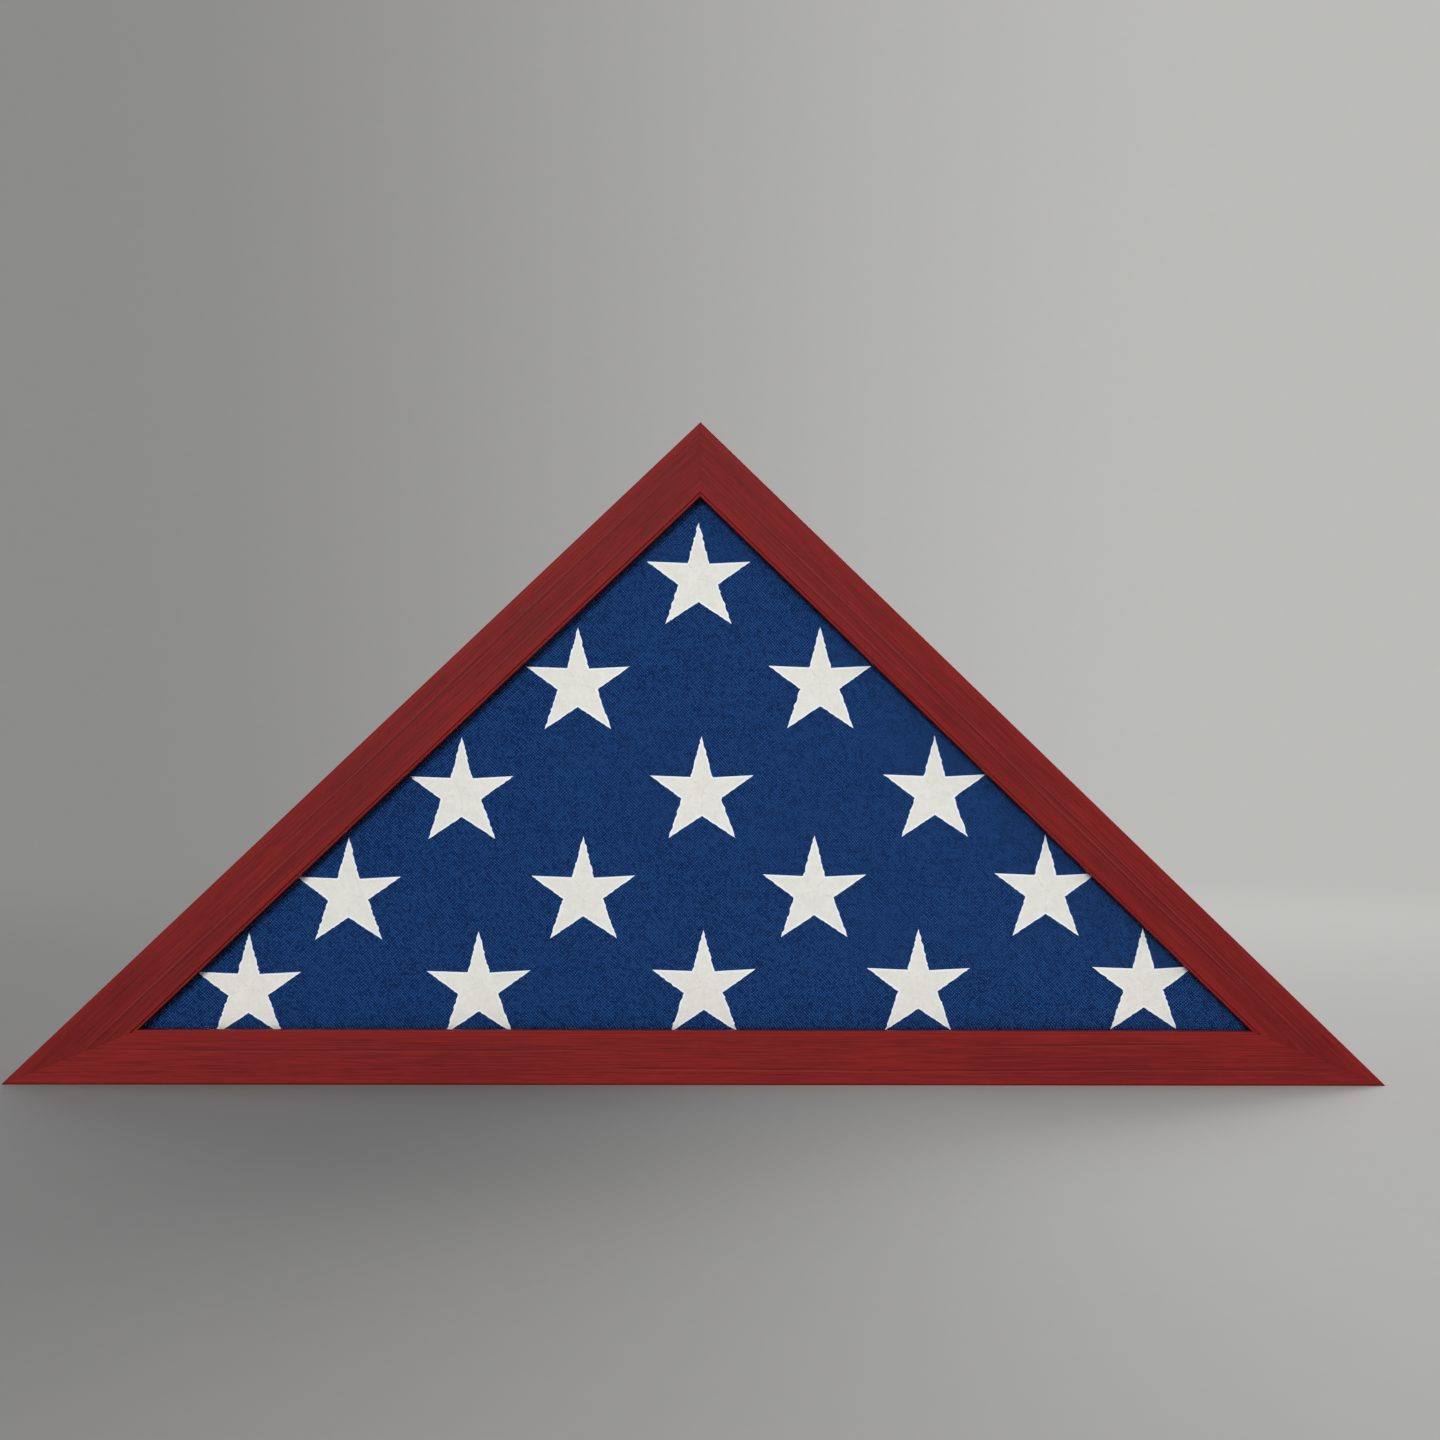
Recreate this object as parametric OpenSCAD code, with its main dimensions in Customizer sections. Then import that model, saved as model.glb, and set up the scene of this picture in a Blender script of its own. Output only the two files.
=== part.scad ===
// Folded flag display case: a triangular shadow box that stands on its long rail or hangs on a wall.
// Millimetres. +X along the base, -Y towards the viewer, +Z up.
// The origin is under the middle of the case, on the surface that it stands on.

/* [Case] */
// Length of the base, over the two sharp corners
case_w = 500; // [420:5:640]
// Height from the base to the top corner
case_h = 240; // [210:5:300]
// Depth of the moulding, from the front face to the rear face
case_d = 76; // [64:1:110]

/* [Moulding] */
// Width of the front face, from the outer edge to the window
face_w = 19.5; // [18:0.5:25]
// Thickness of the box wall behind the front lip
wall_t = 14; // [13:0.5:16]
// Thickness of the front lip that holds the glass
lip_t = 5; // [3.5:0.5:8]
// Width of the small step along the window's edge of the face
sight_w = 1; // [0.6:0.1:1.6]
// How far that step lies below the face
sight_d = 0.8; // [0.4:0.1:1.2]
// Radius of the eased long edges
edge_r = 0.8; // [0.4:0.1:1.5]
// Width of the rear rebate that the back board sits in
rebate_w = 4; // [3:0.5:4.5]

/* [Glass and spacers] */
// Thickness of the glass
glass_t = 2; // [1.5:0.1:3]
// Clearance round the edge of the glass
glass_gap = 0.5; // [0.3:0.1:1]
// Length nipped off each corner of the glass, along its edges
glass_nip = 3; // [1:0.5:8]
// Thickness of the spacer strips that keep the glass forward
spacer_t = 2; // [1:0.25:2.5]

/* [Back] */
// Thickness of the back board
board_t = 3; // [2.5:0.5:5]
// How far the back board lies below the rear face of the rails
board_recess = 0.3; // [0.2:0.1:1]
// Clearance round the edge of the back board
board_gap = 0.5; // [0.3:0.1:0.8]
// Length cut off each sharp corner of the back board
board_nip = 6; // [2:0.5:12]
// Thickness of the felt on the inside of the back board
felt_t = 1; // [0.5:0.1:2]
// Clearance between the felt and the spacer strips
felt_gap = 1; // [0.5:0.25:3]

/* [Turn buttons] */
// Distance of the outer pair's pivots on the base from its middle
base_button_x = 130; // [60:5:160]
// Distance of the lower pivots from the base corners, along the side rails
low_button_s = 105; // [80:5:130]
// Distance of the upper pivots from the base corners, along the side rails
high_button_s = 235; // [180:5:255]
// Distance from a turn button's pivot to the middle of its tip
button_reach = 17; // [12:0.5:22]
// Radius of the end that turns on the screw
button_head_r = 4.4; // [3.6:0.1:4.4]
// Radius of the tip
button_tip_r = 3.6; // [2.6:0.1:3.6]
// Thickness of the pressed steel
button_t = 1.2; // [0.8:0.1:1.6]
// Height of the stiffening rib pressed into the tab
rib_h = 0.5; // [0.3:0.1:0.8]
// Width of the stiffening rib
rib_w = 2.4; // [1.6:0.1:3]
// Running clearance under and over a turn button
button_gap = 0.1; // [0.05:0.05:0.2]

/* [Screws] */
// Radius of the turn button screws' shanks
screw_r = 1.5; // [1.2:0.1:1.7]
// Length of the shank below the head
screw_l = 15; // [10:1:22]
// Radius of the pan head
screw_head_r = 3.1; // [2.8:0.1:3.6]
// Height of the pan head
screw_head_h = 1.9; // [1.6:0.1:2.2]

/* [Hanger and bumpers] */
// Length of the sawtooth hanger
hanger_l = 44; // [34:1:50]
// Height of the hanger's strip
hanger_h = 9; // [7:0.5:12]
// Thickness of the hanger's strip
hanger_t = 0.9; // [0.6:0.1:1.2]
// How far the middle of the hanger stands off the back board
hanger_lift = 1.4; // [1:0.1:1.6]
// Distance of the hanger's middle below the top corner of the case
hanger_drop = 62; // [52:1:90]
// Number of teeth on the hanger
hanger_teeth = 9; // [5:2:11]
// Radius of the wall bumpers
bumper_r = 5; // [4:0.25:5.5]
// Height of the wall bumpers
bumper_h = 3.6; // [3.6:0.2:6]

/* [Flag] */
// Clearance between the folded flag and the spacer strips
flag_gap = 0.4; // [0.3:0.1:2]
// Gap between the glass and the cloth
flag_glass_gap = 0.8; // [0.8:0.1:2]
// Gap between the folded flag and the felt
flag_back_gap = 2.5; // [2:0.5:6]
// Number of folded layers that show on the flag's sides
flag_layers = 12; // [6:1:16]
// Radius of a star, from its middle to a tip
star_r = 19.8; // [15:0.2:20]
// How far the stitched stars stand out of the cloth
star_t = 0.5; // [0.2:0.1:0.6]
// Thickness of the tucked flap on the back of the flag
flap_t = 1.2; // [0.8:0.1:1.6]

/* [Hidden] */
$fn = 48;

// The bumpers stand furthest out at the back, so the origin is midway between them and the front face
front_y = -(case_d + bumper_h) / 2;

// The outline is an isosceles triangle, and the mitres meet at its incentre
side_l = norm([case_w / 2, case_h]);
base_angle = atan2(case_h, case_w / 2);
inradius = case_w * case_h / (case_w + 2 * side_l);
centre = [0, inradius];
left_corner = [-case_w / 2, 0];
right_corner = [case_w / 2, 0];
top_corner = [0, case_h];
CORNERS = [left_corner, top_corner, right_corner];

// Each rail as its first corner, its heading seen from the front, and its length
BOTTOM = [right_corner, 180, case_w];
LEFT = [left_corner, base_angle, side_l];
RIGHT = [top_corner, -base_angle, side_l];
RAILS = [BOTTOM, LEFT, RIGHT];
function rail_end(rail) = rail[0] + rail[2] * [cos(rail[1]), sin(rail[1])];

// Depths behind the front face
glass_back = lip_t + glass_t;
ledge_d = case_d - board_t - board_recess;
seat_gap = 0.1;
flag_front = glass_back + flag_glass_gap;
flag_back = ledge_d - felt_t - flag_back_gap;

// Distances in from the outer edge
land_w = wall_t - rebate_w;
button_u = land_w / 2;
flag_inset = wall_t + spacer_t + flag_gap;

function inset_corner(p, inset) = centre + (p - centre) * (1 - inset / inradius);
function inset_triangle(inset) = [for (p = CORNERS) inset_corner(p, inset)];
function toward(p, q, step) = p + (q - p) * step / norm(q - p);
// A triangle with the same length cut off both sides of every corner
function nipped(t, nip) = [
    for (i = [0:2]) each [toward(t[i], t[(i + 2) % 3], nip), toward(t[i], t[(i + 1) % 3], nip)]
];

// Extrudes a shape drawn as seen from the front, between two depths behind the front face
module slab(front, back)
    translate([0, front_y + back, 0]) rotate([90, 0, 0]) linear_extrude(back - front) children();

// Local axes on a rail: x in from its outer edge, y back from the front face, z along it
module on_rail(rail, along = 0)
    translate([rail[0].x, front_y, rail[0].y]) rotate([0, 90 - rail[1], 0]) translate([0, 0, along])
        children();

// Turns a shape drawn on the xy plane so that it grows out of the back of the case
module face_back() rotate([-90, 0, 0]) children();

// The part of the case that belongs to one rail, between its two mitres
module mitre_sector(rail)
    slab(-1, case_d + 1)
        polygon([centre, inset_corner(rail[0], -5), inset_corner(rail_end(rail), -5)]);

// ---- Moulding ----

// What comes off a square corner to leave it round; into points into the wood
module corner_cut(at, into, r = edge_r)
    translate(at) difference() {
        square(2 * r, center = true);
        translate(r * into) circle(r, $fn = 24);
    }

module moulding_profile() {
    difference() {
        union() {
            square([wall_t, case_d]);
            square([face_w, lip_t]);
        }
        translate([land_w, ledge_d]) square([rebate_w + 1, board_t + board_recess + 1]);
        translate([face_w - sight_w, -1]) square([sight_w + 1, sight_d + 1]);
        corner_cut([0, 0], [1, 1]);
        corner_cut([face_w - sight_w, 0], [-1, 1], sight_d / 2);
        corner_cut([face_w, sight_d], [-1, 1], sight_d / 2);
        corner_cut([0, case_d], [1, -1]);
    }
}

module mitred(rail) {
    intersection() {
        on_rail(rail) linear_extrude(rail[2]) children();
        mitre_sector(rail);
    }
}

// Pivots of the turn buttons, as the distances along each rail
function stations(rail) =
    rail == BOTTOM ? [case_w / 2 - base_button_x, case_w / 2 + base_button_x]
    : rail == LEFT ? [low_button_s, high_button_s]
    : [side_l - high_button_s, side_l - low_button_s];

pilot_gap = 0.05;
module pilot_holes(rail)
    for (s = stations(rail))
        on_rail(rail, s) translate([button_u, case_d, 0]) rotate([90, 0, 0])
            cylinder(r = screw_r + pilot_gap, h = 2 * screw_l, center = true);

module rail(r) {
    color("#7a2a26") difference() {
        mitred(r) moulding_profile();
        pilot_holes(r);
        v_nails();
    }
}

// ---- Corner nails ----

v_nail_leg = 3.2;
v_nail_t = 0.8;
v_nail_h = 10;
v_nail_s = 8;

// Steel chevrons pressed in across each mitre from the back, flush with the wood
module v_nails()
    slab(case_d - v_nail_h, case_d)
        for (p = CORNERS)
            translate(p) rotate(atan2(centre.y - p.y, centre.x - p.x)) translate([v_nail_s, 0])
                polygon([
                    [0, 0], [v_nail_leg, v_nail_leg], [v_nail_leg + v_nail_t, v_nail_leg],
                    [v_nail_t, 0], [v_nail_leg + v_nail_t, -v_nail_leg], [v_nail_leg, -v_nail_leg],
                ]);

module mitre_v_nails() color("#9a9a9c") v_nails();

// ---- Glass and spacers ----

module glass_pane()
    color("#dfeef0", 0.3) slab(lip_t, glass_back)
        polygon(nipped(inset_triangle(wall_t + glass_gap), glass_nip));

module spacer(rail)
    color("#2c2a2a") mitred(rail)
        translate([wall_t, glass_back]) square([spacer_t, ledge_d - glass_back - seat_gap]);

// ---- Back board ----

module back_board()
    color("#8a6a4a") difference() {
        slab(ledge_d + seat_gap, ledge_d + seat_gap + board_t)
            polygon(nipped(inset_triangle(land_w + board_gap), board_nip));
        hanger_holes();
    }

module felt_lining()
    color("#1c1c1e") slab(ledge_d + seat_gap - felt_t, ledge_d + seat_gap)
        polygon(nipped(inset_triangle(wall_t + spacer_t + felt_gap), board_nip));

// ---- Sawtooth hanger ----

board_back = ledge_d + seat_gap + board_t;
hanger_z = case_h - hanger_drop;
hanger_foot = 7;
hanger_ramp = 3;
rivet_r = 1.2;
rivet_head_r = 2.4;
rivet_head_h = 0.9;
rivet_l = board_t;
rivet_x = hanger_l / 2 - hanger_foot / 2;
tooth_h = 1.6;

// The strip seen from above: flat feet at both ends, and a raised middle
module hanger_section() {
    foot_x = hanger_l / 2 - hanger_foot;
    crown_x = foot_x - hanger_ramp;
    lower = [[-hanger_l / 2, 0], [-foot_x, 0], [-crown_x, hanger_lift],
        [crown_x, hanger_lift], [foot_x, 0], [hanger_l / 2, 0]];
    upper = [for (i = [5:-1:0]) lower[i] + [0, hanger_t]];
    polygon(concat(lower, upper));
}

module sawtooth_hanger() {
    pitch = 2 * (rivet_x - hanger_foot / 2 - hanger_ramp) / (hanger_teeth + 1);
    color("#c2a45c") difference() {
        translate([0, front_y + board_back, hanger_z - hanger_h / 2]) linear_extrude(hanger_h)
            hanger_section();
        for (i = [0:hanger_teeth - 1])
            translate([(i - (hanger_teeth - 1) / 2) * pitch, 0, hanger_z - hanger_h / 2])
                slab(board_back, board_back + hanger_lift + hanger_t + 1)
                    polygon([[-pitch / 2, -1], [0, tooth_h], [pitch / 2, -1]]);
        hanger_holes();
    }
}

module at_rivets()
    for (x = [-rivet_x, rivet_x])
        translate([x, front_y + board_back, hanger_z]) face_back() children();

module hanger_holes()
    at_rivets() translate([0, 0, -rivet_l - pilot_gap])
        cylinder(r = rivet_r + pilot_gap, h = rivet_l + hanger_t + 1);

module hanger_rivets()
    color("#b0965a") at_rivets() rotate_extrude() {
        translate([0, -rivet_l]) square([rivet_r, rivet_l + hanger_t]);
        translate([0, hanger_t]) intersection() {
            square([rivet_head_r, rivet_head_h]);
            dome_r = (rivet_head_r * rivet_head_r + rivet_head_h * rivet_head_h) / (2 * rivet_head_h);
            translate([0, rivet_head_h - dome_r]) circle(dome_r, $fn = 96);
        }
    }

// ---- Turn buttons ----

// Places a shape on a pivot, standing on the rear face; way is 1 for a tab along the rail, or -1
module at_pivot(rail, station, way = 1)
    on_rail(rail, station) translate([button_u, case_d, 0]) face_back() rotate(-90 * way) children();

// Two circles and their common tangents
module teardrop(r1, r2, reach) {
    lean = (r1 - r2) / reach;
    rise = sqrt(1 - lean * lean);
    circle(r1);
    translate([reach, 0]) circle(r2);
    polygon([
        [r1 * lean, r1 * rise], [reach + r2 * lean, r2 * rise],
        [reach + r2 * lean, -r2 * rise], [r1 * lean, -r1 * rise],
    ]);
}

module turn_button(rail, station, way) {
    rib_start = screw_head_r + 1 + rib_w / 2;
    color("#b9bbbd") at_pivot(rail, station, way) translate([0, 0, button_gap]) {
        linear_extrude(button_t) difference() {
            teardrop(button_head_r, button_tip_r, button_reach);
            circle(screw_r + button_gap);
        }
        translate([rib_start, 0, button_t]) linear_extrude(rib_h)
            teardrop(rib_w / 2, rib_w / 2, button_reach - rib_start);
    }
}

// Each turn button as its rail, its station's number and the way that its tab points when it is clear
function button_pivot(name) =
    name == "base_left" ? [BOTTOM, 1, 1]
    : name == "base_right" ? [BOTTOM, 0, -1]
    : name == "left_low" ? [LEFT, 0, -1]
    : name == "left_high" ? [LEFT, 1, -1]
    : name == "right_low" ? [RIGHT, 1, 1]
    : [RIGHT, 0, 1];

module named_button(name) {
    b = button_pivot(name);
    turn_button(b[0], stations(b[0])[b[1]], b[2]);
}

module pan_screw() {
    seat = 2 * button_gap + button_t;
    recess_w = screw_head_r * 0.28;
    crown_r = screw_head_h * 0.6;
    difference() {
        rotate_extrude() {
            translate([0, seat]) {
                square([screw_head_r, screw_head_h - crown_r]);
                square([screw_head_r - crown_r, screw_head_h]);
                translate([screw_head_r - crown_r, screw_head_h - crown_r]) intersection() {
                    circle(crown_r);
                    square(crown_r);
                }
            }
            translate([0, seat - screw_l + screw_r]) square([screw_r, screw_l - screw_r]);
            polygon([[0, seat - screw_l], [screw_r, seat - screw_l + screw_r],
                [0, seat - screw_l + screw_r]]);
        }
        for (a = [0, 90])
            rotate(a) translate([0, 0, seat + screw_head_h])
                cube([2.4 * screw_r, recess_w, screw_head_h], center = true);
    }
}

module turn_button_screws()
    color("#8f9193") for (r = RAILS, s = stations(r)) at_pivot(r, s) pan_screw();

// ---- Wall bumpers ----

bumper_s = 19.5;
module wall_bumpers()
    color("#2b2b2d") for (p = [left_corner, right_corner]) {
        at = toward(p, centre, bumper_s);
        translate([at.x, front_y + case_d, at.y]) face_back() rotate_extrude() difference() {
            square([bumper_r, bumper_h]);
            translate([bumper_r, bumper_h]) difference() {
                square(2 * edge_r, center = true);
                translate([-edge_r, -edge_r]) circle(edge_r, $fn = 24);
            }
        }
    }

// ---- Folded flag ----

layer_t = (flag_back - flag_front) / flag_layers;
fold_groove = layer_t / 4;
fold_seam = layer_t / 5;

// The pack of layers, with a groove round it at each fold
module cloth_layers() {
    slab(flag_front, flag_back) polygon(inset_triangle(flag_inset + fold_groove));
    for (i = [0:flag_layers - 1])
        slab(flag_front + i * layer_t + fold_seam / 2, flag_front + (i + 1) * layer_t - fold_seam / 2)
            polygon(inset_triangle(flag_inset));
}

// The last turn of the cloth, tucked across the back of the pack
module tucked_flap() {
    t = inset_triangle(flag_inset + layer_t);
    slab(flag_back, flag_back + flap_t)
        polygon([t[0], t[1], toward(t[1], t[2], side_l * 0.3), toward(t[0], t[2], case_w * 0.36)]);
}

module folded_flag()
    color("#18335f") {
        cloth_layers();
        tucked_flap();
    }

// ---- Stars ----

// Each row of stars: how far its middle lies below the flag's top corner, and the pitch along it
STAR_ROWS = [[34, 0], [72.2, 88.4], [112, 86.2], [148.3, 84.6], [182.7, 81.4]];
star_waist = 0.382;
flag_top = inset_corner(top_corner, flag_inset);

module star()
    polygon([for (i = [0:9]) star_r * (i % 2 == 0 ? 1 : star_waist) * [sin(36 * i), cos(36 * i)]]);

// How far a point lies in from the outer edge of the side rails
function side_inset(p) = (case_w / 2 - abs(p.x)) * sin(base_angle) - p.y * cos(base_angle);
function star_fits(p) =
    p.y - star_r * cos(36) > flag_inset
    && side_inset([abs(p.x) + star_r * cos(18), p.y + star_r * sin(18)]) > flag_inset;

module embroidered_stars()
    color("#dfe0da") slab(flag_front - star_t, flag_front)
        for (row = [0:len(STAR_ROWS) - 1], i = [0:row]) {
            at = [(i - row / 2) * STAR_ROWS[row][1], flag_top.y - STAR_ROWS[row][0]];
            if (star_fits(at)) translate(at) star();
        }

rail(BOTTOM);  // bottom_rail
rail(LEFT);  // left_rail
rail(RIGHT);  // right_rail
mitre_v_nails();
glass_pane();
spacer(BOTTOM);  // bottom_spacer
spacer(LEFT);  // left_spacer
spacer(RIGHT);  // right_spacer
folded_flag();
embroidered_stars();
back_board();
felt_lining();
sawtooth_hanger();
hanger_rivets();
named_button("base_left");  // turn_button_base_left
named_button("base_right");  // turn_button_base_right
named_button("left_low");  // turn_button_left_low
named_button("left_high");  // turn_button_left_high
named_button("right_low");  // turn_button_right_low
named_button("right_high");  // turn_button_right_high
turn_button_screws();
wall_bumpers();
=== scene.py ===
import math
import random

import bmesh
import bpy
import numpy as np
from bpy.props import FloatProperty, FloatVectorProperty, IntProperty, PointerProperty
from mathutils import Matrix, Vector
from mathutils.bvhtree import BVHTree


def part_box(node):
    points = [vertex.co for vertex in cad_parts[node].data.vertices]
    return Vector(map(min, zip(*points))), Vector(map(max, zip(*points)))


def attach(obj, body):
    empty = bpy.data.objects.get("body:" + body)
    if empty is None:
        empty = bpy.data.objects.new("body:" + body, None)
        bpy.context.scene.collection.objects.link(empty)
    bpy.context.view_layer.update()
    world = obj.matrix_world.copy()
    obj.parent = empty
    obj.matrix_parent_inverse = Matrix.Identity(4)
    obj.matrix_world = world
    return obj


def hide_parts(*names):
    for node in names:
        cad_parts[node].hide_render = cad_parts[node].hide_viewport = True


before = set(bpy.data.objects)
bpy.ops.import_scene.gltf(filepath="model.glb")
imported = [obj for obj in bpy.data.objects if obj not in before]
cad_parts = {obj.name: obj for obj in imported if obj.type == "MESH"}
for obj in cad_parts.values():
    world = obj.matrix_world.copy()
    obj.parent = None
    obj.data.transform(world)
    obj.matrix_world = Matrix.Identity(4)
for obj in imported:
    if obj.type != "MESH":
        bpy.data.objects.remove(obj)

bl_info = {
    "name": "Folded Flag Display Case",
    "version": (1, 0, 0),
    "blender": (4, 5, 0),
    "location": "View3D > Sidebar > Flag Case",
    "description": "Dresses a triangular display case: stained wood, glass, folded cloth and hardware",
    "category": "Object",
}

# ---- Places taken from the frame, in metres ----

CASE_LOW, CASE_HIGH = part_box("bottom_rail")
PACK_LOW, PACK_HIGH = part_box("folded_flag")

HALF_BASE = CASE_HIGH.x
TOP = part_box("left_rail")[1].z
FACE_WIDTH = CASE_HIGH.z
FRONT_FACE = CASE_LOW.y
REAR_FACE = CASE_HIGH.y
GLASS_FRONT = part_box("glass_pane")[0].y
SIDE_LENGTH = math.hypot(HALF_BASE, TOP)
INRADIUS = HALF_BASE * TOP / (HALF_BASE + SIDE_LENGTH)
CENTRE = Vector((0, 0, INRADIUS))
LEFT_CORNER = Vector((-HALF_BASE, 0, 0))
RIGHT_CORNER = Vector((HALF_BASE, 0, 0))
TOP_CORNER = Vector((0, 0, TOP))

# The corners that each rail's grain runs from and to
RAILS = {
    "bottom_rail": (RIGHT_CORNER, LEFT_CORNER),
    "left_rail": (LEFT_CORNER, TOP_CORNER),
    "right_rail": (TOP_CORNER, RIGHT_CORNER),
}

# ---- Wood ----

# Where in the pattern each rail's grain starts, and how far its stain differs from the others'
GRAIN_SEED = {"bottom_rail": 3.1, "left_rail": 7.7, "right_rail": 11.9}
RAIL_TONE = {"bottom_rail": 0.16, "left_rail": -0.02, "right_rail": 0.04}

# Long lines in the grain: how far in from the outer edge, and from where to where along the rail
GRAIN_LINES = {
    "bottom_rail": ((0.0052, 0.02, 0.30), (0.0121, 0.27, 0.48), (0.0142, 0.05, 0.16)),
    "left_rail": ((0.0118, 0.02, 0.17), (0.0061, 0.12, 0.33), (0.0137, 0.20, 0.31)),
    "right_rail": ((0.0083, 0.16, 0.318), (0.0106, 0.02, 0.30), (0.0152, 0.03, 0.13)),
}

# A line's reach to each side, the step from its early to its late wood, its ends and its sway
GRAIN_LINE_WIDTH = 0.00042
GRAIN_LINE_GAP = 0.0006
GRAIN_LINE_FADE = 0.03
GRAIN_LINE_SWAY = 0.0016

# The redder stain's reach at the outer edge and at the window, the width of the window's step,
# and the reach of a mitre's line
OUTER_EDGE_WIDTH = 0.0042
WINDOW_EDGE_WIDTH = 0.0034
WINDOW_STEP = 0.0010
MITRE_WIDTH = 0.00028

EDGE_RED = (0.245, 0.0150, 0.0145)
EARLY_WOOD = (0.28, 0.042, 0.038)
LATE_WOOD = (0.050, 0.0065, 0.0060)
OPEN_PORE = (0.02, 0.004, 0.004)
MITRE_DARK = (0.030, 0.0045, 0.0042)

# ---- Stars ----

# Rows of stars: how far each row's middle lies below the flag's top corner, and its pitch
STAR_ROWS = (
    (0.0336, 0.0), (0.0718, 0.0884), (0.1116, 0.0862), (0.1479, 0.0846), (0.1822, 0.0814)
)

# Stars that the hand set off their even places: (row, place in it) and how far to the right
STAR_DRIFT = {
    (0, 0): -0.0004, (2, 1): 0.0011, (3, 1): 0.0005,
    (4, 1): 0.0018, (4, 2): 0.0021, (4, 3): -0.0010,
}

# A stitched star's tips and notches, clockwise from the top: each as its share of the radius
STAR_REACH = (1.03, 0.335, 1.0, 0.372, 1.04, 0.435, 1.04, 0.392, 1.0, 0.345)
STAR_POINTS = 5

THREAD_SHADE = (0.60, 0.58, 0.53)
SEAM_SHADE = (0.42, 0.44, 0.47)
# The colour of the painted sheen on the satin edge of the stars
SATIN_SHEEN_PAINT = (0.84, 0.865, 0.92)

# ---- Cloth ----

# Slow waves over the flag: strength, radians to a metre along X and along Z, and phase
CLOTH_WAVES = ((1.0, 31, 13, 0.6), (0.7, -19, 47, 2.1), (0.5, 83, -61, 4.0))
WAVE_DEPTH = 0.00022

# The cloth simulation: the size of its quads, its pressure and how long it runs
CLOTH_VOXEL = 0.003
CLOTH_PRESSURE = 4.0
CLOTH_FRAMES = 20


# ---- What a user would change ----


def colour_prop(name, description, default):
    return FloatVectorProperty(
        name=name, description=description, default=default, subtype="COLOR", min=0, max=1
    )


def length_prop(name, description, default, low, high):
    return FloatProperty(
        name=name, description=description, default=default, min=low, max=high,
        subtype="DISTANCE", unit="LENGTH", precision=5,
    )


class CaseColours(bpy.types.PropertyGroup):
    wood_dark: colour_prop(
        "Wood, dark grain", "Stain in the open pores and the late wood", (0.104, 0.0084, 0.0078)
    )
    wood_mid: colour_prop("Wood, body", "The red stain over most of the rails", (0.154, 0.0114, 0.0106))
    wood_light: colour_prop(
        "Wood, light grain", "Stain that is thin on the early wood", (0.222, 0.0160, 0.0148)
    )
    cloth_dark: colour_prop(
        "Cloth, between threads", "The shade between the threads", (0.0004, 0.0098, 0.060)
    )
    cloth_light: colour_prop(
        "Cloth, on the threads", "The lit crowns of the threads", (0.0125, 0.067, 0.225)
    )
    thread: colour_prop(
        "Star thread", "The off-white thread of the stitched stars", (0.79, 0.775, 0.725)
    )
    board: colour_prop("Back board", "The pressed fibre of the back board", (0.205, 0.125, 0.070))
    felt: colour_prop("Felt", "The lining on the inside of the back board", (0.012, 0.012, 0.013))
    zinc: colour_prop("Zinc plate", "The plating on the turn buttons", (0.60, 0.61, 0.62))
    brass: colour_prop("Brass plate", "The plating on the hanger and its rivets", (0.62, 0.43, 0.17))
    backdrop_shaded_side: colour_prop(
        "Backdrop, left", "The floor and its sweep, on the shaded side", (0.264, 0.261, 0.259)
    )
    backdrop_lit_side: colour_prop(
        "Backdrop, right", "The floor and its sweep, on the lit side", (0.500, 0.497, 0.482)
    )


class CaseSizes(bpy.types.PropertyGroup):
    thread_pitch: length_prop(
        "Thread pitch", "From one thread of the field to the next", 0.00082, 0.0003, 0.003
    )
    star_radius: length_prop("Star radius", "From the middle of a star to a tip", 0.0198, 0.01, 0.03)
    star_fray: length_prop(
        "Star fray", "How far single stitches stray from a star's outline", 0.00027, 0, 0.001
    )
    crown: length_prop("Crown", "How far the pack's two faces may move as they swell", 0.0012, 0, 0.004)
    layers: IntProperty(
        name="Layers", description="Folded layers in the pack", default=12, min=4, max=16
    )


class CaseSettings(bpy.types.PropertyGroup):
    colours: PointerProperty(type=CaseColours)
    sizes: PointerProperty(type=CaseSizes)


def settings():
    return bpy.context.scene.flag_case


# ---- Node helpers ----

# A mix node's colour sockets by number, since those of its other kinds share their names
MIX_FACTOR, MIX_A, MIX_B, MIX_RESULT = 0, 6, 7, 2
FLOAT, COLOUR, VECTOR = "NodeSocketFloat", "NodeSocketColor", "NodeSocketVector"


def wire(tree, value, socket):
    """Links a socket to a socket, or sets a plain value on it."""
    if isinstance(value, bpy.types.NodeSocket):
        tree.links.new(value, socket)
    elif socket.type == "RGBA" and len(value) == 3:
        socket.default_value = (*value, 1)
    else:
        socket.default_value = value


def add(tree, kind, inputs=None, **options):
    made = tree.nodes.new(kind)
    for name, value in options.items():
        setattr(made, name, value)
    for name, value in (inputs or {}).items():
        wire(tree, value, made.inputs[name])
    return made


def maths(tree, operation, a, b=0.0, c=None):
    inputs = {0: a, 1: b} if c is None else {0: a, 1: b, 2: c}
    return add(tree, "ShaderNodeMath", inputs, operation=operation).outputs[0]


def plus(tree, a, b):
    return maths(tree, "ADD", a, b)


def minus(tree, a, b):
    return maths(tree, "SUBTRACT", a, b)


def times(tree, a, b):
    return maths(tree, "MULTIPLY", a, b)


def weighted(tree, total, *parts):
    """Adds parts to a total, each of them a value and its weight."""
    for value, weight in parts:
        total = maths(tree, "MULTIPLY_ADD", value, weight, total)
    return total


def blend(tree, share, a, b, how="MIX"):
    inputs = {MIX_FACTOR: share, MIX_A: a, MIX_B: b}
    made = add(tree, "ShaderNodeMix", inputs, data_type="RGBA", blend_type=how)
    return made.outputs[MIX_RESULT]


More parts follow.
